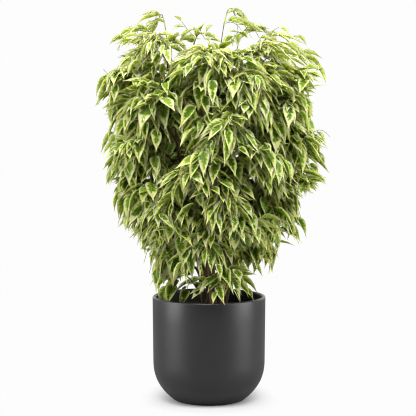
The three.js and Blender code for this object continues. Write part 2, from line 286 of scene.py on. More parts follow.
def pot_rings():
    """The pot's outline as radius and height, from its foot over the lip and down to the floor inside."""
    wall = POT_RADIUS - WALL_LEAN
    rings = [corner_ring(i / CORNER_STEPS, FOOT_RADIUS, 0, wall) for i in range(CORNER_STEPS + 1)]
    lip = POT_WALL / 2
    lip_base = POT_HEIGHT - lip
    for i in range(1, WALL_STEPS):
        share = i / WALL_STEPS
        height = CORNER_HEIGHT + (lip_base - CORNER_HEIGHT) * share
        rings.append((POT_RADIUS - WALL_LEAN * (1 - share), height))
    for i in range(LIP_STEPS + 1):
        angle = math.pi * i / LIP_STEPS
        rings.append((POT_RADIUS - lip + lip * math.cos(angle), lip_base + lip * math.sin(angle)))
    for i in range(CORNER_STEPS, -1, -1):
        rings.append(corner_ring(i / CORNER_STEPS, FOOT_RADIUS - FLOOR_INSET, POT_FLOOR, wall - POT_WALL))
    return rings


def turned_piece(name, rings):
    """A round piece, drawn up ring by ring from a circle and closed at both ends."""
    rest_all()
    radius, height = rings[0]
    bpy.ops.mesh.primitive_circle_add(vertices=POT_SIDES, radius=radius, location=(0, 0, height))
    piece = bpy.context.object
    piece.name = name
    bpy.ops.object.transform_apply(location=True, rotation=False, scale=False)
    bpy.ops.object.mode_set(mode="EDIT")
    bpy.ops.mesh.select_all(action="SELECT")
    bpy.ops.mesh.edge_face_add()
    for next_radius, next_height in rings[1:]:
        bpy.ops.mesh.extrude_region_move(TRANSFORM_OT_translate={"value": (0, 0, next_height - height)})
        grow = next_radius / radius
        bpy.ops.transform.resize(value=(grow, grow, 1), center_override=(0, 0, next_height))
        radius, height = next_radius, next_height
    bpy.ops.mesh.select_all(action="SELECT")
    bpy.ops.mesh.normals_make_consistent(inside=False)
    bpy.ops.object.mode_set(mode="OBJECT")
    bpy.ops.object.shade_smooth_by_angle(angle=TURNED_CREASE)
    return piece


pot = turned_piece("fig_pot", pot_rings())
pot_finish, tree, shader = finish_named("charcoal_pot", POT_ROUGHNESS, POT_SHINE)
place = Signal.add(tree, "ShaderNodeTexCoord", {}, {}, "Object")
grain = Signal.add(tree, "ShaderNodeTexNoise", {}, {"Vector": place, **POT_GRAIN})
cloud = Signal.add(tree, "ShaderNodeTexNoise", {}, {"Vector": place, **POT_CLOUD})
speckle = (grain * POT_GRAIN_SHARE + cloud * POT_CLOUD_SHARE).ramp(*POT_SPECK_RANGE)
flat = Signal.add(tree, "ShaderNodeVectorMath", {"operation": "MULTIPLY"}, {0: place, 1: (1, 1, 0)})
spread = Signal.add(tree, "ShaderNodeVectorMath", {"operation": "LENGTH"}, {0: flat}, "Value")
up = Signal.add(tree, "ShaderNodeSeparateXYZ", {}, {0: place}, "Z")
# The inner wall under the lip is drawn near black, painted shade where little light reaches into the pot; it
# is also a little rougher.
below_lip = up.ramp(POT_HEIGHT - POT_WALL, POT_HEIGHT, 1, 0)
above_corner = up.ramp(CORNER_HEIGHT, CORNER_HEIGHT + POT_WALL)
within_wall = spread.ramp(POT_RADIUS - POT_WALL, POT_RADIUS - POT_WALL / 2, 1, 0)
inside = within_wall * (below_lip * above_corner)
pot_colour = inside.mix(speckle.mix(POT_COLOUR, POT_SPECK), POT_INSIDE_SHADE)
tree.links.new(pot_colour.socket, shader.inputs["Base Color"])
rough = cloud.ramp(*POT_CLOUD_RANGE, *POT_ROUGHNESS_RANGE) + inside * POT_INSIDE_ROUGHER
tree.links.new(rough.socket, shader.inputs["Roughness"])
bump = Signal.add(tree, "ShaderNodeBump", {}, {"Height": grain, **POT_RELIEF})
tree.links.new(bump.socket, shader.inputs["Normal"])
pot.data.materials.append(pot_finish)
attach(pot, "root")
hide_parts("pot")


# The potting soil is a dark crumbly mix that fills the pot to a little under its lip. Its top is raked
# from rings of fine faces and pushed into lumps, with a low mound round the stems.
SOIL_EDGE = 0.268
SOIL_MOUND = 0.009
SOIL_GAP = 0.0003
SOIL_RINGS = 30
SOIL_LUMP = 0.004
SOIL_LUMP_SIZE = 0.012
SOIL_LUMP_DEPTH = 4
SOIL_STILL_RIM = 0.0004
SOIL_DARK = rgb(20, 15, 11)
SOIL_LIGHT = rgb(58, 44, 32)
SOIL_ROUGHNESS = 0.95
SOIL_SHINE = 0.2
SOIL_CRUMBS = {"Scale": 260}
SOIL_CRUMB_SHARE = 0.3
SOIL_CLODS = {"Scale": 60, "Detail": 8}
SOIL_LIGHT_RANGE = (0.45, 0.8)
SOIL_RELIEF = {"Strength": 0.8, "Distance": 0.003}


def soil_rings():
    """The soil's outline, from the pot's floor up along its wall and in over the mound."""
    wall = POT_RADIUS - WALL_LEAN - POT_WALL
    rings = []
    for i in range(CORNER_STEPS + 1):
        radius, height = corner_ring(i / CORNER_STEPS, FOOT_RADIUS - FLOOR_INSET, POT_FLOOR, wall)
        rings.append((radius - SOIL_GAP, height + SOIL_GAP))
    rise = (SOIL_EDGE - CORNER_HEIGHT) / (POT_HEIGHT - CORNER_HEIGHT)
    edge = POT_RADIUS - POT_WALL - WALL_LEAN * (1 - rise) - SOIL_GAP
    rings.append((edge, SOIL_EDGE))
    for i in range(1, SOIL_RINGS):
        radius = edge * (1 - i / SOIL_RINGS)
        rings.append((radius, SOIL_EDGE + SOIL_MOUND * (1 - (radius / edge) ** 2)))
    return rings


soil = turned_piece("fig_soil", soil_rings())
lumps = bpy.data.textures.new("soil_lumps", "CLOUDS")
lumps.noise_scale = SOIL_LUMP_SIZE
lumps.noise_depth = SOIL_LUMP_DEPTH
top = soil.vertex_groups.new(name="top")
loose = [vert.index for vert in soil.data.vertices if vert.co.z > SOIL_EDGE + SOIL_STILL_RIM]
top.add(loose, 1.0, "REPLACE")
displace = soil.modifiers.new("lumps", "DISPLACE")
displace.texture = lumps
displace.strength = 2 * SOIL_LUMP
displace.mid_level = 0.5
displace.direction = "Z"
displace.texture_coords = "LOCAL"
displace.vertex_group = "top"
bpy.ops.object.modifier_apply(modifier=displace.name)
soil_finish, tree, shader = finish_named("potting_soil", SOIL_ROUGHNESS, SOIL_SHINE)
place = Signal.add(tree, "ShaderNodeTexCoord", {}, {}, "Object")
crumbs = Signal.add(tree, "ShaderNodeTexVoronoi", {}, {"Vector": place, **SOIL_CRUMBS}, "Distance")
clods = Signal.add(tree, "ShaderNodeTexNoise", {}, {"Vector": place, **SOIL_CLODS})
soil_colour = (clods + crumbs * SOIL_CRUMB_SHARE).ramp(*SOIL_LIGHT_RANGE).mix(SOIL_DARK, SOIL_LIGHT)
tree.links.new(soil_colour.socket, shader.inputs["Base Color"])
bump = Signal.add(tree, "ShaderNodeBump", {}, {"Height": clods + crumbs, **SOIL_RELIEF})
tree.links.new(bump.socket, shader.inputs["Normal"])
soil.data.materials.append(soil_finish)
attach(soil, "root")
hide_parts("soil")


# The five stems are slender woody leaders with ridged grey-brown bark. They leave the soil close together,
# fan out as they rise, and carry the woody first part of each side shoot, which swells where it joins.
STEM_ROOT = SOIL_EDGE - 0.060
STEM_BASE_RADIUS = 0.0082
STEM_TOP_RADIUS = 0.0026
STEM_SPREAD = 0.88
STEM_POINTS = 40
STEM_WANDER = 0.0012
STEM_WANDER_WAVES = (9, 11)
STEM_KNUCKLES = ((0.05, 23), (0.03, 61))
STEMS = [
    {"foot": (-0.015, -0.004), "top": (-0.122, -0.022), "height": 1.040, "girth": 0.85, "bow": 0.007},
    {"foot": (-0.002, 0.024), "top": (-0.062, 0.092), "height": 1.006, "girth": 0.8, "bow": 0.007},
    {"foot": (0.014, -0.020), "top": (0.028, -0.098), "height": 1.010, "girth": 1.45, "bow": -0.009},
    {"foot": (0.032, 0.022), "top": (0.072, 0.088), "height": 1.004, "girth": 0.85, "bow": 0.007},
    {"foot": (0.045, -0.008), "top": (0.132, -0.014), "height": 1.036, "girth": 1, "bow": 0.007},
]

# The crown's outline: a height, then how far the leaf tips stand from the middle to the left, to the right
# and in depth. The side shoots end a little inside it, and each leaf keeps within it.
CROWN_OUTLINE = [
    (0.330, 0.181, 0.154, 0.150), (0.400, 0.187, 0.196, 0.180), (0.440, 0.200, 0.235, 0.215),
    (0.477, 0.240, 0.300, 0.250), (0.520, 0.281, 0.285, 0.275), (0.585, 0.281, 0.262, 0.290),
    (0.621, 0.290, 0.338, 0.310), (0.657, 0.317, 0.368, 0.335), (0.729, 0.330, 0.362, 0.345),
    (0.765, 0.311, 0.350, 0.340), (0.800, 0.287, 0.311, 0.335), (0.836, 0.305, 0.320, 0.335),
    (0.872, 0.345, 0.320, 0.330), (0.908, 0.345, 0.332, 0.330), (0.943, 0.329, 0.362, 0.325),
    (0.979, 0.262, 0.344, 0.310), (1.014, 0.272, 0.347, 0.290), (1.050, 0.293, 0.305, 0.260),
    (1.085, 0.284, 0.265, 0.220), (1.121, 0.263, 0.140, 0.170), (1.156, 0.163, 0.100, 0.130),
]
SIDE_SHOOTS = 46
LOWEST_TIP = 0.362
HIGHEST_TIP = 1.060
LOW_THINNING = 0.88
GOLDEN_TURN = 137.508
FIRST_TURN = 20
TURN_JITTER = 12
REACH_JITTER = (0.93, 1.07)
TIP_JITTER = 0.012
TIP_INSET = 0.022
TIP_ABOVE = 0.045
CROWN_SHOOTS = [
    {"stem": 0, "from": 0.990, "tip": (-0.270, -0.045, 1.040), "crest": 0.150},
    {"stem": 0, "from": 1.020, "tip": (-0.152, -0.020, 1.118), "crest": 0.088},
    {"stem": 1, "from": 0.985, "tip": (-0.012, -0.050, 1.070), "crest": 0.070},
    {"stem": 2, "from": 0.995, "tip": (0.078, -0.062, 1.126), "crest": 0.100},
    {"stem": 3, "from": 0.980, "tip": (0.148, -0.020, 1.078), "crest": 0.104},
    {"stem": 4, "from": 1.000, "tip": (0.250, -0.030, 1.052), "crest": 0.092},
    {"stem": 4, "from": 0.960, "tip": (0.308, -0.040, 1.000), "crest": 0.090},
]
SHOOT_RISE = (0.055, 0.125)
LOWEST_START = 0.300
SHOOT_CREST = (0.030, 0.070)
SHOOT_CREST_AT = 0.44
SHOOT_STEPS = 12
WOOD_SHARE = 0.3
WOOD_RADIUS = 0.0032
WOOD_END_RADIUS = 0.0022
WOOD_SWELL = 1.7
WOOD_SWELL_SHARPNESS = 6
WOOD_POINTS = 9
WOOD_ROUNDNESS = 3
CROWN_WOOD_GIRTH = 0.55
STICK_CREASE = math.radians(50)
BARK_DARK = rgb(76, 58, 38)
BARK_MID = rgb(128, 102, 70)
BARK_PALE = rgb(150, 128, 100)
BARK_ROUGHNESS = 0.75
BARK_SHINE = 0.35
BARK_DRAWN_UP = (1, 1, 0.12)
BARK_RIDGES = {"Scale": 420, "Detail": 6}
BARK_PATCHES = {"Scale": 45, "Detail": 5}
BARK_RIDGE_RANGE = (0.35, 0.68)
BARK_PATCH_RANGE = (0.56, 0.74, 0, 0.55)
BARK_PATCH_RELIEF = 0.5
BARK_RELIEF = {"Strength": 0.7, "Distance": 0.0012}
DRAW_ITEM = 12.9898
DRAW_FEATURE = 78.233
DRAW_STRETCH = 43758.5453
TURN_DRAW = 1
REACH_DRAW = 2
TIP_DRAW = 3
RISE_DRAW = 4
CREST_DRAW = 5


def draw(low, high, item, feature):
    """A repeatable draw, which placed the frame's shoots too: an item and a feature give one number."""
    wave = math.sin(item * DRAW_ITEM + feature * DRAW_FEATURE) * DRAW_STRETCH
    return low + (high - low) * (wave - math.floor(wave))


def stem_point(stem, height):
    """Where a stem's middle is at a height."""
    s = max(0, (height - SOIL_EDGE) / (stem["height"] - SOIL_EDGE))
    spread = s ** STEM_SPREAD
    bow = stem["bow"] * math.sin(2 * math.pi * s)
    x, y = (foot + (top - foot) * spread for foot, top in zip(stem["foot"], stem["top"]))
    return Vector((x + bow, y - bow / 2, height))


class Arch:
    """A side shoot's curve, from its stem over a crest to its tip."""

    def __init__(self, stem, start, tip, crest):
        self.stem = stem
        self.start = start
        self.tip = tip
        self.high = start.lerp(tip, SHOOT_CREST_AT)
        self.high.z = max(start.z, tip.z) + crest

    def point(self, t):
        """Where the curve is at a share of its way."""
        return self.start * (1 - t) ** 2 + self.high * 2 * t * (1 - t) + self.tip * t * t

    def length(self):
        """The curve's length, measured in short steps."""
        points = [self.point(i / SHOOT_STEPS) for i in range(SHOOT_STEPS + 1)]
        return sum((b - a).length for a, b in zip(points, points[1:]))


def stem_towards(angle):
    """The stem that stands nearest to a direction from the middle of the crown."""
    turns = [math.atan2(stem["top"][1], stem["top"][0]) for stem in STEMS]
    return max(range(len(STEMS)), key=lambda i: math.cos(turns[i] - angle))


def crown_reach(angle, height):
    """How far the leaf tips stand from the crown's middle, in a direction and at a height."""
    heights, lefts, rights, depths = zip(*CROWN_OUTLINE)
    sideways = np.interp(height, heights, lefts if math.cos(angle) < 0 else rights)
    return sideways * math.cos(angle) ** 2 + np.interp(height, heights, depths) * math.sin(angle) ** 2


def side_arch(item):
    """A side shoot: each stands a golden turn round from the one below, and the lowest are furthest apart."""
    share = ((item - 0.5) / SIDE_SHOOTS) ** LOW_THINNING
    height = LOWEST_TIP + (HIGHEST_TIP - LOWEST_TIP) * share + draw(-TIP_JITTER, TIP_JITTER, item, TIP_DRAW)
    angle = math.radians(FIRST_TURN + GOLDEN_TURN * item + draw(-TURN_JITTER, TURN_JITTER, item, TURN_DRAW))
    length = (crown_reach(angle, height - TIP_ABOVE) - TIP_INSET) * draw(*REACH_JITTER, item, REACH_DRAW)
    stem = stem_towards(angle)
    start = stem_point(STEMS[stem], max(LOWEST_START, height - draw(*SHOOT_RISE, item, RISE_DRAW)))
    tip = Vector((length * math.cos(angle), length * math.sin(angle), height))
    return Arch(stem, start, tip, draw(*SHOOT_CREST, item, CREST_DRAW))


def sticks(name, routes, roundness, finish):
    """Tapered round sticks along routes of points, each with its radius, as one mesh with closed ends."""
    curve = bpy.data.curves.new(name, "CURVE")
    curve.dimensions = "3D"
    curve.bevel_depth = 1
    curve.bevel_resolution = roundness
    curve.use_fill_caps = True
    for route in routes:
        spline = curve.splines.new("POLY")
        spline.points.add(len(route) - 1)
        for knot, (point, radius) in zip(spline.points, route):
            knot.co = (*point, 1)
            knot.radius = radius
    stick = bpy.data.objects.new(name, curve)
    bpy.context.scene.collection.objects.link(stick)
    rest_all()
    stick.select_set(True)
    bpy.context.view_layer.objects.active = stick
    bpy.ops.object.convert(target="MESH")
    stick = bpy.context.object
    stick.data.materials.clear()
    stick.data.materials.append(finish)
    bpy.ops.object.shade_smooth_by_angle(angle=STICK_CREASE)
    return stick


def stem_route(number, stem):
    """A stem's middle line from its buried foot to its tip, wandering a little as wood does."""
    base_radius = stem["girth"] * STEM_BASE_RADIUS
    sideways, inwards = STEM_WANDER_WAVES
    (wide, slow), (fine, fast) = STEM_KNUCKLES
    route = []
    for i in range(STEM_POINTS + 1):
        t = i / STEM_POINTS
        height = STEM_ROOT + (stem["height"] - STEM_ROOT) * t
        radius = base_radius + (STEM_TOP_RADIUS - base_radius) * t
        wander = Vector((math.sin(sideways * t + number), math.cos(inwards * t + 2 * number), 0))
        knuckle = 1 + wide * math.sin(slow * t + number) + fine * math.sin(fast * t + 3 * number)
        route.append((stem_point(stem, height) + wander * STEM_WANDER, radius * knuckle))
    return route


def wood_route(arch, girth):
    """The woody first part of a side shoot, swollen at its stem."""
    route = []
    for i in range(WOOD_POINTS + 1):
        share = i / WOOD_POINTS
        swell = 1 + (WOOD_SWELL - 1) * (1 - share) ** WOOD_SWELL_SHARPNESS
        radius = (WOOD_RADIUS + (WOOD_END_RADIUS - WOOD_RADIUS) * share) * swell * girth
        route.append((arch.point(share * WOOD_SHARE), radius))
    return route


bark_finish, tree, shader = finish_named("fig_bark", BARK_ROUGHNESS, BARK_SHINE)
place = Signal.add(tree, "ShaderNodeTexCoord", {}, {}, "Object")
drawn_up = Signal.add(tree, "ShaderNodeMapping", {}, {"Vector": place, "Scale": BARK_DRAWN_UP})
ridges = Signal.add(tree, "ShaderNodeTexNoise", {}, {"Vector": drawn_up, **BARK_RIDGES})
patches = Signal.add(tree, "ShaderNodeTexNoise", {}, {"Vector": place, **BARK_PATCHES})
bark_base = ridges.ramp(*BARK_RIDGE_RANGE).mix(BARK_DARK, BARK_MID)
bark_colour = patches.ramp(*BARK_PATCH_RANGE).mix(bark_base, BARK_PALE)
tree.links.new(bark_colour.socket, shader.inputs["Base Color"])
bark_height = ridges + patches * BARK_PATCH_RELIEF
bump = Signal.add(tree, "ShaderNodeBump", {}, {"Height": bark_height, **BARK_RELIEF})
tree.links.new(bump.socket, shader.inputs["Normal"])

arches = [side_arch(item) for item in range(1, SIDE_SHOOTS + 1)]
for shoot in CROWN_SHOOTS:
    start = stem_point(STEMS[shoot["stem"]], shoot["from"])
    arches.append(Arch(shoot["stem"], start, Vector(shoot["tip"]), shoot["crest"]))

for number, stem in enumerate(STEMS):
    routes = [stem_route(number, stem)]
    routes += [wood_route(arch, 1) for arch in arches[:SIDE_SHOOTS] if arch.stem == number]
    routes += [wood_route(arch, CROWN_WOOD_GIRTH) for arch in arches[SIDE_SHOOTS:] if arch.stem == number]
    wood = sticks(f"fig_stem_{number + 1}", routes, WOOD_ROUNDNESS, bark_finish)
    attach(wood, "root")
    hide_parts(f"stem_{number + 1}")


# A leaf is a thin ovate blade with a long drip tip on a short stalk. It is modelled once, flat and closed,
# from a grid that is drawn in to the outline row by row, and every leaf on the plant is a copy of it.
LEAF_LENGTH = 0.078
LEAF_HALF_WIDTH = 0.255
LEAF_THICKNESS = 0.006
LEAF_STATIONS = (0, 0.02, 0.09, 0.24, 0.44, 0.64, 0.81, 1)
LEAF_WIDTHS = (0, 0.40, 0.78, 1, 0.92, 0.60, 0.22, 0)
LEAF_COLUMNS = 4
LEAF_POINT_WIDTH = 1e-5
LEAF_WELD = 1e-4
DONE_ROWS_SHIFT = 2
STALK_LENGTH = 0.14
STALK_OVERLAP = 0.03
STALK_RADIUS = 0.009
STALK_TAPER = 0.8
STALK_SIDES = 3


def model_leaf():
    """One flat leaf of length 1, from its stalk's foot below the origin to its tip at y = 1.

    Each row is set aside once it is done, so that it isn't taken for one of the rows still to come.
    """
    rest_all()
    rows = len(LEAF_STATIONS) - 1
    bpy.ops.mesh.primitive_grid_add(x_subdivisions=LEAF_COLUMNS, y_subdivisions=rows, size=1)
    leaf = bpy.context.object
    leaf.name = "leaf_pattern"
    bpy.ops.object.mode_set(mode="EDIT")
    bpy.ops.mesh.select_mode(type="VERT")
    mesh = bmesh.from_edit_mesh(leaf.data)
    for row in range(rows, -1, -1):
        now = row / rows - 0.5
        for vert in mesh.verts:
            vert.select_set(abs(vert.co.y - now) < LEAF_WELD)
        mesh.select_flush(True)
        width = max(2 * LEAF_HALF_WIDTH * LEAF_WIDTHS[row], LEAF_POINT_WIDTH)
        bpy.ops.transform.resize(value=(width, 1, 1), center_override=(0, now, 0))
        bpy.ops.transform.translate(value=(0, LEAF_STATIONS[row] - now + DONE_ROWS_SHIFT, 0))
    bpy.ops.mesh.select_all(action="SELECT")
    bpy.ops.transform.translate(value=(0, -DONE_ROWS_SHIFT, 0))
    bpy.ops.mesh.duplicate()
    bpy.ops.mesh.flip_normals()
    for height in (-LEAF_THICKNESS / 2, LEAF_THICKNESS / 2):
        mesh = bmesh.from_edit_mesh(leaf.data)
        for vert in mesh.verts:
            if vert.is_boundary:
                vert.select_set(False)
        mesh.select_flush(False)
        bpy.ops.transform.translate(value=(0, 0, height))
        bpy.ops.mesh.select_all(action="INVERT")
    bpy.ops.mesh.select_all(action="SELECT")
    bpy.ops.mesh.remove_doubles(threshold=LEAF_WELD)
    bpy.ops.mesh.primitive_cone_add(
        vertices=STALK_SIDES, radius1=STALK_RADIUS, radius2=STALK_RADIUS * STALK_TAPER,
        depth=STALK_LENGTH + STALK_OVERLAP, location=(0, (STALK_OVERLAP - STALK_LENGTH) / 2, 0),
        rotation=(-math.pi / 2, 0, 0))
    bpy.ops.object.mode_set(mode="OBJECT")
    return leaf


leaf = model_leaf()
leaf_points = np.array([vert.co for vert in leaf.data.vertices])
leaf_faces = [tuple(face.vertices) for face in leaf.data.polygons]
bpy.data.objects.remove(leaf)
leaf_x = leaf_points[:, 0]
leaf_s = leaf_points[:, 1]
leaf_widths = LEAF_HALF_WIDTH * np.interp(leaf_s, LEAF_STATIONS, LEAF_WIDTHS)
leaf_rim = np.maximum(leaf_widths - np.abs(leaf_x), 0)
face_under = np.array([leaf_points[list(face), 2].mean() < 0 for face in leaf_faces], dtype=float)


# The blade is green in the middle with a ragged cream margin, whose depth comes from the distance to the
# blade's edge and from noise in the direction of the side veins. Each leaf has its own tone and age. Leaves
# deep inside the
# crown carry painted shade: their darker green goes near black and their cream a dull yellow-green.
LEAF_ROUGHNESS = 0.5
LEAF_SHINE = 0.14
LEAF_GLOW = 0.8
LEAF_GLOW_REACH = (0.9, 1.0, 0.3)
LEAF_GLOW_SCALE = 0.0012
CREAM = rgb(189, 187, 153)
CREAM_WARM = rgb(185, 187, 117)
# Cream of leaves deep inside the crown, a dull yellow-green: painted shade.
CREAM_IN_SHADE = rgb(130, 146, 46)
GREEN_DEEP = rgb(62, 91, 20)
GREEN_MID = rgb(107, 137, 40)
GREEN_GREY = rgb(148, 168, 66)
GREEN_YOUNG = rgb(144, 166, 70)
# Green of leaves deep inside the crown, near black: painted shade.
GREEN_IN_SHADE = rgb(9, 17, 2)
PALE_GREEN = rgb(150, 165, 90)
# The pale yellow-green underside is partly the leaf's own paler underside and partly painted light shining
# through it.
PALE_UNDERSIDE_LIT_THROUGH = rgb(184, 200, 96)
UNDERSIDE_LIT_THROUGH_SHARE = 0.22
INNER_SHADE_RANGE = (0.0, 0.38)
PALENESS_STEP = 7.3
PALENESS_SHARE = 0.75
YOUNG_PALENESS = 0.5
VEIN_SLANT = 0.55
LEAF_SEED = 91
HALF_SEED = 17
TOOTH_SEED = 3
MARGIN_FINGERS = 13
MARGIN_TEETH = 9
MARGIN_SWELLS = 2.5
MARGIN_LEAST = 0.020
MARGIN_FINGER_DEPTH = 0.046
MARGIN_TOOTH_RANGE = (0.46, 0.70, 0, 0.064)
MARGIN_SWELL_RANGE = (0.38, 0.74, 0, 0.088)
MARGIN_ALONG = (0.1, 0.8, 0.7, 1.15)
YOUNG_MARGIN = 0.9
MARGIN_EDGE = (-0.006, 0.010)
GREY_BAND = 1.5
GREY_EDGE = (0.0, 0.02)
MIDRIB_TAPER = 0.004
MIDRIB_RANGE = (0.006, 0.012, 0.55, 0)
STALK_RANGE = (-0.01, 0.0, 1, 0)
VEIN_PLEATS = 150
VEIN_DEPTH = 0.25
MIDRIB_GROOVE = (0.0, 0.02, 1, 0)
LEAF_RELIEF = {"Strength": 0.35, "Distance": 0.0005}


def leaf_material():
    """The finish of a blade and its stalk, on the blade's own map, each leaf's tone and age, and the crown's
    painted shade.
    """
    material, tree, shader = finish_named("cream_edged_leaf", LEAF_ROUGHNESS, LEAF_SHINE)
    shader.inputs["Subsurface Weight"].default_value = LEAF_GLOW
    shader.inputs["Subsurface Radius"].default_value = LEAF_GLOW_REACH
    shader.inputs["Subsurface Scale"].default_value = LEAF_GLOW_SCALE
    blade = Signal.add(tree, "ShaderNodeUVMap", {"uv_map": "blade"}, {})
    u = Signal.add(tree, "ShaderNodeSeparateXYZ", {}, {0: blade}, "X")
    s = Signal.add(tree, "ShaderNodeSeparateXYZ", {}, {0: blade}, "Y")
    rim = Signal.add(tree, "ShaderNodeAttribute", {"attribute_name": "rim"}, {}, "Fac")
    tone = Signal.add(tree, "ShaderNodeAttribute", {"attribute_name": "tone"}, {}, "Fac")
    youth_and_shade = Signal.add(tree, "ShaderNodeAttribute", {"attribute_name": "youth_and_shade"}, {}, "Fac")
    under = Signal.add(tree, "ShaderNodeAttribute", {"attribute_name": "under"}, {}, "Fac")
    across = abs(u)
    seed = tone * LEAF_SEED + (u > 0.0) * HALF_SEED
    vein = s - across * VEIN_SLANT
    young = youth_and_shade.ramp(0, 1)
    # Painted shade: leaves deep inside the crown are drawn darker, near black, as if in the crown's shadow.
    old = (-youth_and_shade).ramp(*INNER_SHADE_RANGE)

    line = {"noise_dimensions": "1D"}
    finger_at = (vein * MARGIN_FINGERS).floor() + seed
    tooth_at = vein * MARGIN_TEETH + seed * TOOTH_SEED
    swell_at = vein * MARGIN_SWELLS + seed
    finger = Signal.add(tree, "ShaderNodeTexWhiteNoise", line, {"W": finger_at}, "Value")
    tooth = Signal.add(tree, "ShaderNodeTexNoise", line, {"W": tooth_at, "Scale": 1, "Detail": 2})
    swell = Signal.add(tree, "ShaderNodeTexNoise", line, {"W": swell_at, "Scale": 1, "Detail": 1})
    margin = MARGIN_LEAST + swell.ramp(*MARGIN_SWELL_RANGE) + tooth.ramp(*MARGIN_TOOTH_RANGE)
    margin = margin + finger * MARGIN_FINGER_DEPTH
    margin = margin * (1 + young * YOUNG_MARGIN) * s.ramp(*MARGIN_ALONG)

    paleness = (tone * PALENESS_STEP).fraction() * PALENESS_SHARE + young * YOUNG_PALENESS
    cream = old.mix(paleness.mix(CREAM_WARM, CREAM), CREAM_IN_SHADE)
    middle = young.mix(tone.mix(GREEN_DEEP, GREEN_MID), GREEN_YOUNG)
    within_grey = (rim - margin * GREY_BAND).ramp(*GREY_EDGE)
    flesh = old.mix(within_grey.mix(GREEN_GREY, middle), GREEN_IN_SHADE)
    colour = (rim - margin).ramp(*MARGIN_EDGE).mix(cream, flesh)
    midrib = (across + s * MIDRIB_TAPER).ramp(*MIDRIB_RANGE)
    colour = midrib.mix(colour, PALE_GREEN)
    # Painted light, in part: the underside is drawn paler, as if lit through the blade.
    colour = (under * UNDERSIDE_LIT_THROUGH_SHARE).mix(colour, PALE_UNDERSIDE_LIT_THROUGH)
    colour = s.ramp(*STALK_RANGE).mix(colour, PALE_GREEN)
    tree.links.new(colour.socket, shader.inputs["Base Color"])

    veins = (vein * VEIN_PLEATS).sine() * VEIN_DEPTH - across.ramp(*MIDRIB_GROOVE)
    bump = Signal.add(tree, "ShaderNodeBump", {}, {"Height": veins, **LEAF_RELIEF})
    tree.links.new(bump.socket, shader.inputs["Normal"])
    return material


leaf_finish = leaf_material()


# Each spray is one leafy side shoot: a green arching shoot with forks and thin side twigs. Leaves on short
# stalks stand on them to the left and right by turns, and hang outwards under their own weight.
SHOOT_BROWN = rgb(110, 96, 58)
SHOOT_ROUGHNESS = 0.5
SHOOT_SHINE = 0.4
SHOOT_PATCHES = {"Scale": 60, "Detail": 3}
SHOOT_PATCH_RANGE = (0.4, 0.65)
SHOOT_ROUNDNESS = 1
GREEN_RADIUS = 0.0022
GREEN_TIP_RADIUS = 0.0009
GREEN_POINTS = 12
FORK_AT = (0.28, 0.62)
FORK_LENGTH = (0.36, 0.62)
FORK_FULL_REACH = 1.1
FORK_TURN = (18, 50)
FORK_RISE = (0.0, 0.6)
FORK_SAG = (-0.7, 1.8)
FORK_RADIUS = 0.0016
FORK_POINTS = 8
FORK_LEAFY_SHARE = 0.7
FORK_FIRST_TWIG = 0.2
TWIG_RADIUS = 0.0011
TWIG_TIP_RADIUS = 0.0007
TWIG_POINTS = 5
TWIG_SPACING = 0.026
TWIG_SHIFT = (0.2, 0.8)
LAST_TWIG = 0.96
TWIG_LENGTH = (0.060, 0.110)
TWIG_SHORTENING = 0.45
TWIG_TURN = (30, 75)
TWIG_RISE = (0.0, 0.45)
TWIG_SAG = (-0.6, 1.5)
DROOP_CREST_AT = 0.45
DROOP_REACH = 0.9
CURVE_STEP = 0.02

# How a spray grows: the side shoots are dense and forked, the lowest are open with large leaves, and those
# of the crown's top are sparse and slender.
SIDE_HABIT = {
    "bare": WOOD_SHARE, "leaf_size": 1, "leaf_spread": 1, "forks": 4,
    "first_twig": 0.04, "twig_spread": 1, "twig_leaf_size": 0.95, "twig_leaf_spread": 1,
}
LOW_HABIT = {
    "bare": WOOD_SHARE, "leaf_size": 1.1, "leaf_spread": 1.25, "forks": 0,
    "first_twig": 0.2, "twig_spread": 1.25, "twig_leaf_size": 1.1, "twig_leaf_spread": 1,
}
CROWN_HABIT = {
    "bare": 0.25, "leaf_size": 0.95, "leaf_spread": 2.1, "forks": 0,
    "first_twig": 0.2, "twig_spread": 4.2, "twig_leaf_size": 0.95, "twig_leaf_spread": 2.1,
}
LOW_HABIT_BELOW = 0.54

# How a leaf sits, with its angles in degrees. Young leaves, at the rim and top, are smaller and slimmer and
# stand up more, and leaves at the rim reach outwards.
LEAF_SPACING = 0.0103
FEWEST_LEAVES = 3
FEWEST_TWIGS = 2
LAST_LEAF_SIDE = 0.3
LEAF_SIZE = (0.62, 1.18)
LEAF_TURN = (16, 80)
LEAF_DIP = (-4, 48)
DIP_SCATTER = 19
SLOPE_SHARE = 0.38
STEEPEST_DIP = 68
LEAF_BEND = (4, 38)
LEAF_ROLL = 33
LEAF_TWIST = 16
LEAF_GIRTH = (0.8, 1.12)
LEAF_FOLD = (2, 42)
LEAF_CURL = 0.10
LEAF_WAVE = 0.014
LEAF_WAVES = (7, 13)
LEAF_WAVE_PHASE = (0, 6.28)
LEAF_WAVE_OFFSET = 1.3
OUTWARD_PULL = 0.12
RIM_FROM = 0.6
RIM_PULL = 0.3
RIM_LIFT = 0.26
RIM_SLIMMING = 0.2
# Inside this share of the crown's reach, leaves carry painted shade, deepest at the middle.
YOUNG_FROM_SHADE_WITHIN = 0.82
YOUNG_RIM = 0.35
YOUNG_ABOVE = 0.91
YOUNG_RISE = 0.17
YOUTH_AND_SHADE_SHARE = (0.4, 1)
YOUNG_SIZE = 0.22
YOUNG_LIFT = 22
YOUNG_NARROW = 0.4
YOUNG_FOLD = 22
YOUNG_SLIMMING = 0.34

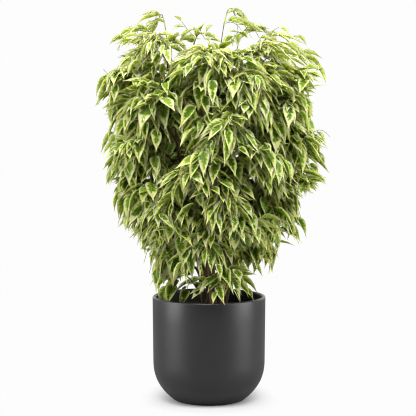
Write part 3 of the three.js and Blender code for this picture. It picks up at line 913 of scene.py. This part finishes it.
# Where a leaf may not be: out of the crown's outline, or in the pot's lip, given as its inner and outer
# radius and its top. The lowest leaves hang over the lip, in front and behind.
LEAF_TRIES = 6
EXCESS_ALLOWED = 0.008
FAR_OUT = 1
CROWN_TOP = 1.158
LIP_CLEAR = (0.148, 0.180, 0.318)
BLADE_CHECKS = 6
BLADE_EARLY = 0.3
LOW_BELOW = 0.44
LOW_DEPTH = 0.06
LOW_REACH = 0.065
LEAF_CREASE = math.radians(60)
UP = Vector((0, 0, 1))


def shoot_material():
    """The finish of the thin green wood, which turns brown in patches."""
    material, tree, shader = finish_named("green_shoot", SHOOT_ROUGHNESS, SHOOT_SHINE)
    place = Signal.add(tree, "ShaderNodeTexCoord", {}, {}, "Object")
    patches = Signal.add(tree, "ShaderNodeTexNoise", {}, {"Vector": place, **SHOOT_PATCHES})
    colour = patches.ramp(*SHOOT_PATCH_RANGE).mix(PALE_GREEN, SHOOT_BROWN)
    tree.links.new(colour.socket, shader.inputs["Base Color"])
    return material


shoot_finish = shoot_material()


def bent_leaf(seat):
    """The points of one leaf in its seat: arched along its midrib, folded, rolled, waved and curled."""
    past = np.clip(leaf_s, 0, 1)
    dip = seat["dip"] + seat["bend"] * past
    mean_dip = seat["dip"] + seat["bend"] * past / 2
    out = np.array((math.cos(seat["heading"]), math.sin(seat["heading"]), 0))
    up = np.array((0, 0, 1.0))
    line = leaf_s[:, None] * (np.cos(mean_dip)[:, None] * out - np.sin(mean_dip)[:, None] * up)
    along = np.cos(dip)[:, None] * out - np.sin(dip)[:, None] * up
    level = np.cross(out, up)[None, :]
    upper = np.cross(level, along)
    roll = seat["roll"] + seat["twist"] * past
    side = np.cos(roll)[:, None] * level + np.sin(roll)[:, None] * upper
    face = np.cos(roll)[:, None] * upper - np.sin(roll)[:, None] * level
    x = leaf_x * math.cos(seat["fold"]) * seat["girth"]
    edge = np.abs(leaf_x) / LEAF_HALF_WIDTH
    wave = np.sin(past * seat["waves"] + seat["phase"] + np.sign(leaf_x) * LEAF_WAVE_OFFSET)
    lift = np.abs(leaf_x) * math.sin(seat["fold"]) + LEAF_WAVE * edge * wave
    drift = seat["curl"] * past ** 3
    points = line + (x + drift)[:, None] * side + (leaf_points[:, 2] + lift)[:, None] * face
    return np.array(seat["root"]) + seat["length"] * (points + STALK_LENGTH * along[0])


def between(rng, limits):
    """A draw from between two limits."""
    return rng.uniform(*limits)


def either_way(rng, most):
    """A draw of at most this much, to either side."""
    return rng.uniform(-most, most)


def tip_of(seat):
    """About where the tip of a seated leaf is."""
    dip = seat["dip"] + seat["bend"] / 2
    out = Vector((math.cos(seat["heading"]), math.sin(seat["heading"]), 0))
    drift = Vector((out.y, -out.x, 0)) * seat["curl"] * seat["length"]
    way = out * math.cos(dip) - UP * math.sin(dip)
    return seat["root"] + way * seat["length"] * (1 + STALK_LENGTH) + drift


def leaf_reach(point):
    """How far out a leaf may stand at a point: the lowest ones hang a little over the pot's lip."""
    angle = math.atan2(point.y, point.x)
    low = min(1, max(0, (LOW_BELOW - point.z) / LOW_DEPTH))
    return crown_reach(angle, point.z) + LOW_REACH * low * math.sin(angle) ** 2


def overshoot(seat):
    """How far a leaf stands out of the crown's outline: far out too where it meets the pot's lip."""
    tip = tip_of(seat)
    inner, outer, top = LIP_CLEAR
    if tip.z > CROWN_TOP:
        return FAR_OUT
    for i in range(1, BLADE_CHECKS + 1):
        point = seat["root"].lerp(tip, i / BLADE_CHECKS)
        if point.z < top and inner < math.hypot(point.x, point.y) < outer:
            return FAR_OUT
    early = seat["root"].lerp(tip, BLADE_EARLY)
    return max(math.hypot(point.x, point.y) - leaf_reach(point) for point in (early, tip))


def rim_share(point):
    """How near a point is to the crown's rim: 0 well inside, 1 at the rim."""
    reach = math.hypot(point.x, point.y) / crown_reach(math.atan2(point.y, point.x), point.z)
    return min(1, max(0, (reach - RIM_FROM) / (1 - RIM_FROM)))


def leaf_seat(rng, root, heading, side, size, youth_and_shade, dip):
    """How one leaf sits: turned to a side of its twig, drawn outwards, most so at the rim, and hanging."""
    rim = rim_share(root)
    young = max(0, youth_and_shade)
    turn = heading + side * math.radians(between(rng, LEAF_TURN)) * (1 - YOUNG_NARROW * young)
    swing = (math.atan2(root.y, root.x) - turn + math.pi) % (2 * math.pi) - math.pi
    hang = dip * (1 - RIM_LIFT * rim) + either_way(rng, DIP_SCATTER) - YOUNG_LIFT * young
    return {
        "root": root,
        "heading": turn + (OUTWARD_PULL + RIM_PULL * rim) * swing,
        "dip": math.radians(hang),
        "bend": math.radians(between(rng, LEAF_BEND)),
        "roll": math.radians(either_way(rng, LEAF_ROLL)),
        "twist": math.radians(either_way(rng, LEAF_TWIST)),
        "girth": between(rng, LEAF_GIRTH) * (1 - YOUNG_SLIMMING * young) * (1 - RIM_SLIMMING * rim),
        "fold": math.radians(between(rng, LEAF_FOLD) + YOUNG_FOLD * young),
        "curl": either_way(rng, LEAF_CURL),
        "waves": between(rng, LEAF_WAVES),
        "phase": between(rng, LEAF_WAVE_PHASE),
        "length": LEAF_LENGTH * size * between(rng, LEAF_SIZE) * (1 - YOUNG_SIZE * young),
        "tone": rng.random(),
        "youth_and_shade": youth_and_shade,
    }


def seated(rng, root, heading, side, size, youth_and_shade, dip):
    """A leaf's first seat within the crown's outline, or the last one tried if it is close, or none."""
    for _ in range(LEAF_TRIES):
        seat = leaf_seat(rng, root, heading, side, size, youth_and_shade, dip)
        excess = overshoot(seat)
        if excess < 0:
            return [seat]
    return [seat] if excess < EXCESS_ALLOWED else []


def shoot_past(arch, share):
    """A side shoot's curve from a share of its length on."""
    return lambda f: arch.point(share + (1 - share) * f)


def drooping(start, heading, length, rise, sag):
    """A curve that leaves its start along a heading, rises over a crest and droops to its tip."""
    out = Vector((math.cos(heading), math.sin(heading), 0))
    crest = start + out * length * DROOP_CREST_AT + UP * length * rise
    tip = start + out * length * DROOP_REACH - UP * length * sag
    return lambda f: start * (1 - f) ** 2 + crest * 2 * f * (1 - f) + tip * f * f


def tapered(curve, points, first, last):
    """A route along a curve whose radius goes evenly from first to last."""
    return [(curve(i / points), first + (last - first) * i / points) for i in range(points + 1)]


def ahead_on(curve, f):
    """A short step along a curve, at a share of its length."""
    return curve(min(1, f + CURVE_STEP)) - curve(max(0, f - CURVE_STEP))


def heading_on(curve, f):
    """The compass direction of a curve at a share of its length."""
    ahead = ahead_on(curve, f)
    return math.atan2(ahead.y, ahead.x)


def pitch_on(curve, f):
    """How steeply a curve falls at a share of its length, in degrees."""
    ahead = ahead_on(curve, f)
    return math.degrees(math.atan2(-ahead.z, math.hypot(ahead.x, ahead.y)))


def youth_and_shade_at(point):
    """How young a leaf is at a point, up to 1, palest at its rim and top; below 0, down to -1 deep inside the
    crown, it sets the painted shade.
    """
    reach = math.hypot(point.x, point.y) / crown_reach(math.atan2(point.y, point.x), point.z)
    top = min(1, max(0, (point.z - YOUNG_ABOVE) / YOUNG_RISE))
    if reach < YOUNG_FROM_SHADE_WITHIN:
        return max(reach / YOUNG_FROM_SHADE_WITHIN - 1, top)
    return max(YOUNG_RIM * min(1, (reach - YOUNG_FROM_SHADE_WITHIN) / (1 - YOUNG_FROM_SHADE_WITHIN)), top)


def leafy(rng, curve, length, size, spread):
    """The seats of the leaves along a curve, left and right by turns, with one at its tip."""
    seats = []
    count = max(FEWEST_LEAVES, round(length / (LEAF_SPACING * spread)))
    dip = between(rng, LEAF_DIP)
    for i in range(count):
        f = (i + 1) / count
        root = curve(f)
        side = 1 if i % 2 else -1
        if i == count - 1:
            side = either_way(rng, LAST_LEAF_SIDE)
        youth_and_shade = youth_and_shade_at(root) * between(rng, YOUTH_AND_SHADE_SHARE)
        hang = min(STEEPEST_DIP, dip + SLOPE_SHARE * pitch_on(curve, f))
        seats += seated(rng, root, heading_on(curve, f), side, size, youth_and_shade, hang)
    return seats


def twiggy(rng, curve, length, first, habit):
    """Side twigs along a curve from the share first on: their routes, and the seats of all their leaves."""
    routes = []
    seats = []
    count = max(FEWEST_TWIGS, round(length * (1 - first) / (TWIG_SPACING * habit["twig_spread"])))
    for k in range(count):
        f = first + (LAST_TWIG - first) * (k + between(rng, TWIG_SHIFT)) / count
        heading = heading_on(curve, f) + (1 if k % 2 else -1) * math.radians(between(rng, TWIG_TURN))
        twig_length = between(rng, TWIG_LENGTH) * (1 - TWIG_SHORTENING * f)
        twig = drooping(curve(f), heading, twig_length, between(rng, TWIG_RISE), between(rng, TWIG_SAG))
        routes.append(tapered(twig, TWIG_POINTS, TWIG_RADIUS, TWIG_TIP_RADIUS))
        seats += leafy(rng, twig, twig_length, habit["twig_leaf_size"], habit["twig_leaf_spread"])
    return routes, seats


def forked(rng, arch, span, habit):
    """The forks of a side shoot with their twigs: their routes, and the seats of all their leaves."""
    routes = []
    seats = []
    for k in range(habit["forks"]):
        at = FORK_AT[0] + (FORK_AT[1] - FORK_AT[0]) * (k + rng.random()) / habit["forks"]
        heading = heading_on(arch.point, at) + (1 if k % 2 else -1) * math.radians(between(rng, FORK_TURN))
        length = span * between(rng, FORK_LENGTH) * (FORK_FULL_REACH - at)
        fork = drooping(arch.point(at), heading, length, between(rng, FORK_RISE), between(rng, FORK_SAG))
        routes.append(tapered(fork, FORK_POINTS, FORK_RADIUS, TWIG_TIP_RADIUS))
        seats += leafy(rng, fork, length * FORK_LEAFY_SHARE, 1, 1)
        twig_routes, twig_seats = twiggy(rng, fork, length, FORK_FIRST_TWIG, habit)
        routes += twig_routes
        seats += twig_seats
    return routes, seats


def growth(number, arch):
    """All that grows on one side shoot: the routes of its green wood, and the seats of its leaves."""
    rng = random.Random(number)
    span = arch.length()
    habit = SIDE_HABIT
    if number > SIDE_SHOOTS:
        habit = CROWN_HABIT
    elif arch.tip.z < LOW_HABIT_BELOW:
        habit = LOW_HABIT
    green = shoot_past(arch, WOOD_SHARE)
    leafy_part = shoot_past(arch, habit["bare"])
    leafy_length = span * (1 - habit["bare"])
    routes = [tapered(green, GREEN_POINTS, GREEN_RADIUS, GREEN_TIP_RADIUS)]
    seats = leafy(rng, leafy_part, leafy_length, habit["leaf_size"], habit["leaf_spread"])
    twig_routes, twig_seats = twiggy(rng, arch.point, span, habit["first_twig"], habit)
    fork_routes, fork_seats = forked(rng, arch, span, habit)
    return routes + twig_routes + fork_routes, seats + twig_seats + fork_seats


def leaves_in(name, seats):
    """One object with a leaf in each seat, and what the finish reads: map, edge, tone, age and painted shade,
    and side.
    """
    points = np.concatenate([bent_leaf(seat) for seat in seats])
    faces = [tuple(np.add(face, k * len(leaf_points))) for k in range(len(seats)) for face in leaf_faces]
    mesh = bpy.data.meshes.new(name)
    mesh.from_pydata(points.tolist(), [], faces)
    rim = mesh.attributes.new("rim", "FLOAT", "POINT")
    rim.data.foreach_set("value", np.tile(leaf_rim, len(seats)))
    for layer_name in ("tone", "youth_and_shade"):
        layer = mesh.attributes.new(layer_name, "FLOAT", "POINT")
        layer.data.foreach_set("value", np.repeat([seat[layer_name] for seat in seats], len(leaf_points)))
    under = mesh.attributes.new("under", "FLOAT", "FACE")
    under.data.foreach_set("value", np.tile(face_under, len(seats)))
    blade = mesh.uv_layers.new(name="blade")
    corners = np.array([i for face in leaf_faces for i in face])
    flat = np.stack([leaf_x[corners], leaf_s[corners]], axis=1)
    blade.data.foreach_set("uv", np.tile(flat, (len(seats), 1)).ravel())
    mesh.materials.append(leaf_finish)
    leaves = bpy.data.objects.new(mesh.name, mesh)
    bpy.context.scene.collection.objects.link(leaves)
    return leaves


def make_spray(number, arch):
    """One spray: its leaves and its green wood, joined in one piece."""
    routes, seats = growth(number, arch)
    spray = leaves_in(f"fig_spray_{number:02d}", seats)
    shoots = sticks(f"fig_spray_{number:02d}_shoots", routes, SHOOT_ROUNDNESS, shoot_finish)
    rest_all()
    shoots.select_set(True)
    spray.select_set(True)
    bpy.context.view_layer.objects.active = spray
    bpy.ops.object.join()
    spray.data.polygons.foreach_set("use_smooth", [True] * len(spray.data.polygons))
    bpy.ops.object.shade_smooth_by_angle(angle=LEAF_CREASE)
    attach(spray, "root")
    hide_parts(f"spray_{number:02d}")


for number, arch in enumerate(arches, 1):
    make_spray(number, arch)
